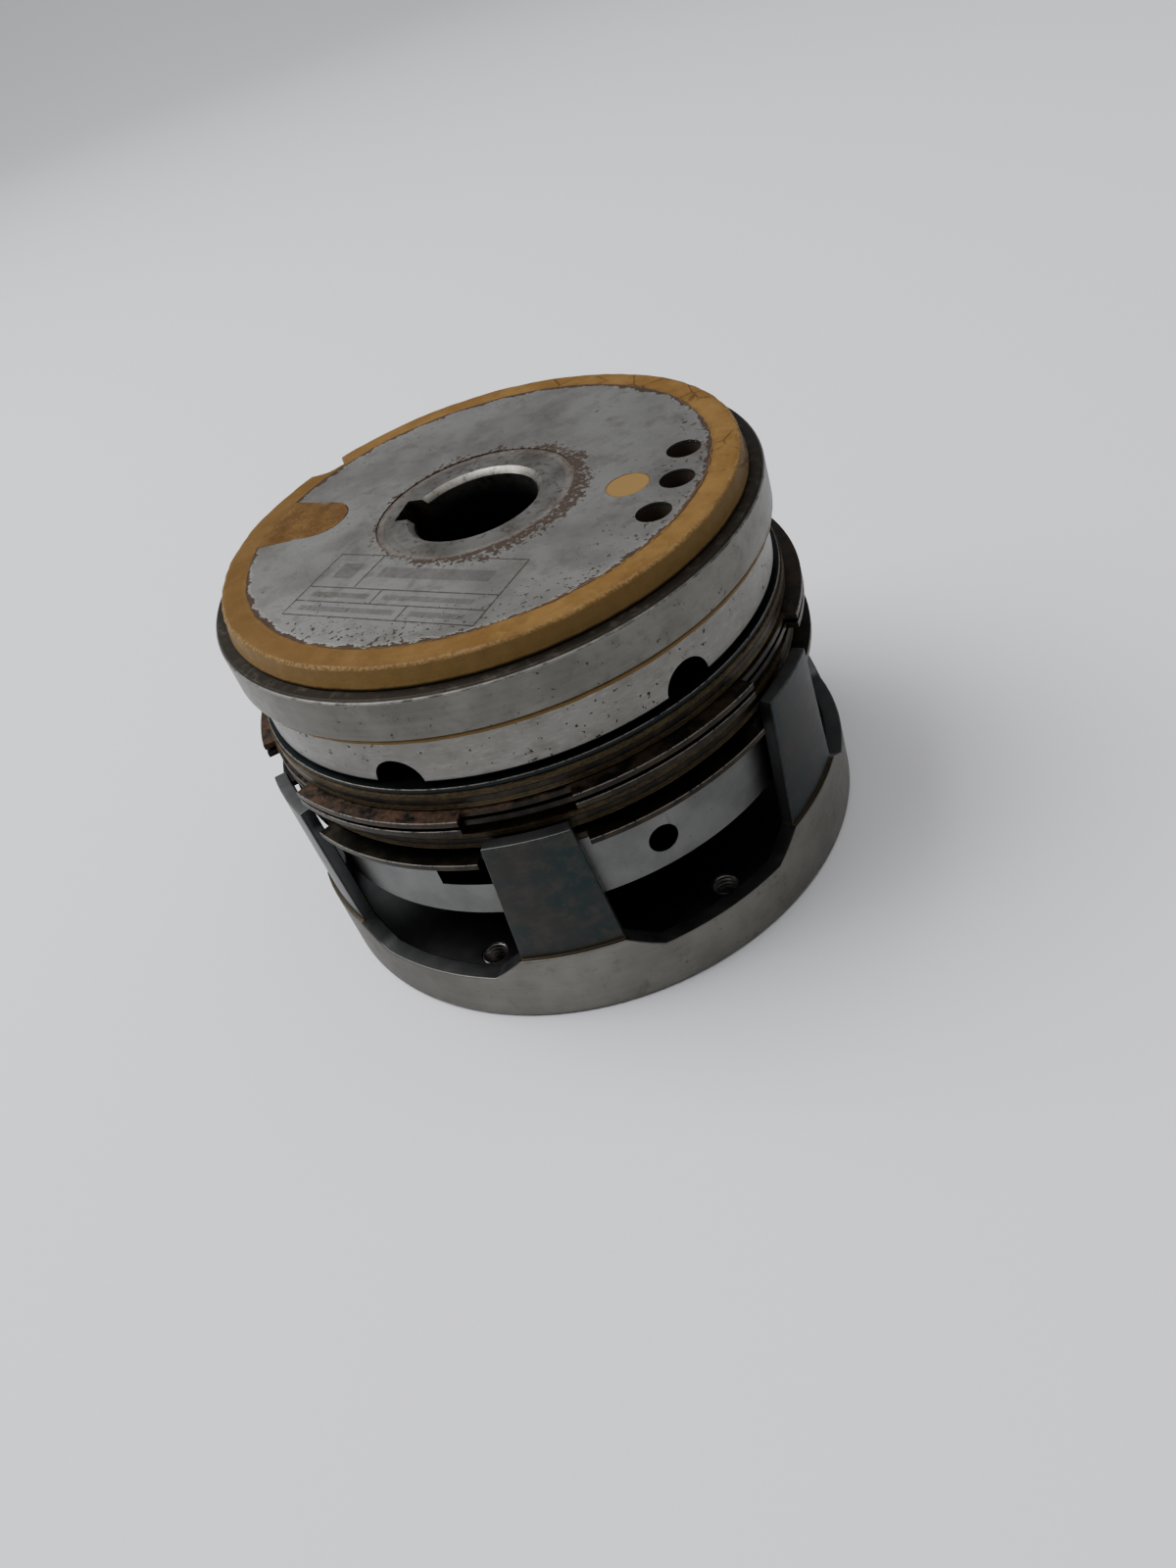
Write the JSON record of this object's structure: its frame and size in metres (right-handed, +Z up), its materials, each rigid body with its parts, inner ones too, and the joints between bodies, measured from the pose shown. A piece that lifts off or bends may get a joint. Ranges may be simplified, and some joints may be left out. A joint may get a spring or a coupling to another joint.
{
  "type": "electromagnetic multi-disc clutch",
  "caption": "Slip-ring electromagnetic clutch: keyed hub, magnet body, lined disc pack and armature inside a loose driver ring with standing fingers.",
  "frame": {"origin": "centre of the driver ring's bottom face", "axes": "+Z up along the shaft bore from the driver ring to the slip ring; -Y is the front, with the keyway at 150 degrees from +X"},
  "size_m": [0.095, 0.095, 0.0654],
  "materials": {
    "hub_steel": "turned, oiled",
    "magnet_steel": "turned, lightly rusted",
    "bobbin_plastic": "moulded",
    "copper_wire": "enamelled copper wire",
    "cover_brass": "turned",
    "casting_resin": "cast ochre resin, dirty",
    "slip_ring_steel": "satin turned",
    "lead_sleeve": "insulated wire",
    "spring_steel": "spring wire",
    "black_steel": "oil-black",
    "disc_steel": "oily, brown with heat and rust",
    "friction_lining": "brown friction lining",
    "armature_steel": "fine ground",
    "driver_steel": "turned, fingers blued by hardening"
  },
  "bodies": {
    "rotor": {"hub": "hub_steel", "magnet_body": "magnet_steel", "coil_bobbin": "bobbin_plastic", "coil_winding": "copper_wire", "coil_cover": "cover_brass", "fill_plug": "casting_resin", "slip_ring": "slip_ring_steel", "slip_ring_insulation": "casting_resin", "coil_lead": "lead_sleeve", "earth_lead": "lead_sleeve", "return_springs": "spring_steel", "adjusting_nut": "black_steel", "nut_lock_screw": "black_steel", "snap_ring": "black_steel"},
    "armature": {"armature_ring": "armature_steel"},
    "pole_disc": {"pole_disc": "disc_steel"},
    "driver": {"driver_ring": "driver_steel"},
    "inner_disc_1": {"inner_disc_1": "disc_steel", "disc_linings_1": "friction_lining"},
    "inner_disc_2": {"inner_disc_2": "disc_steel", "disc_linings_2": "friction_lining"},
    "outer_disc_1": {"outer_disc_1": "disc_steel"},
    "outer_disc_2": {"outer_disc_2": "disc_steel"},
    "outer_disc_3": {"outer_disc_3": "disc_steel"}
  },
  "joints": [
    {"name": "driver_spin", "type": "hinge", "parent": "rotor", "child": "driver", "pos_m": [0, 0, 0], "axis": [0, 0, 1], "continuous": true},
    {"name": "armature_slide", "type": "slide", "parent": "rotor", "child": "armature", "axis": [0, 0, 1], "range_m": [0, 0.005], "stiffness_N_per_m": 9000, "springref_m": -0.004, "deforming": ["return_springs"]},
    {"name": "pole_disc_slide", "type": "slide", "parent": "rotor", "child": "pole_disc", "axis": [0, 0, 1], "range_m": [0, 0.00075]},
    {"name": "inner_disc_1_slide", "type": "slide", "parent": "rotor", "child": "inner_disc_1", "axis": [0, 0, 1], "range_m": [0, 0.0008]},
    {"name": "inner_disc_2_slide", "type": "slide", "parent": "rotor", "child": "inner_disc_2", "axis": [0, 0, 1], "range_m": [0, 0.00355]},
    {"name": "outer_disc_1_slide", "type": "slide", "parent": "driver", "child": "outer_disc_1", "axis": [0, 0, 1], "range_m": [0, 0.00095]},
    {"name": "outer_disc_2_slide", "type": "slide", "parent": "driver", "child": "outer_disc_2", "axis": [0, 0, 1], "range_m": [0, 0.0015]},
    {"name": "outer_disc_3_slide", "type": "slide", "parent": "driver", "child": "outer_disc_3", "axis": [0, 0, 1], "range_m": [0, 0.0045]}
  ],
  "couplings": [
    {"joint": "pole_disc_slide", "follows": "armature_slide", "ratio": 0.15},
    {"joint": "inner_disc_1_slide", "follows": "armature_slide", "ratio": 0.16},
    {"joint": "inner_disc_2_slide", "follows": "armature_slide", "ratio": 0.71},
    {"joint": "outer_disc_1_slide", "follows": "armature_slide", "ratio": 0.19},
    {"joint": "outer_disc_2_slide", "follows": "armature_slide", "ratio": 0.3},
    {"joint": "outer_disc_3_slide", "follows": "armature_slide", "ratio": 0.9}
  ]
}
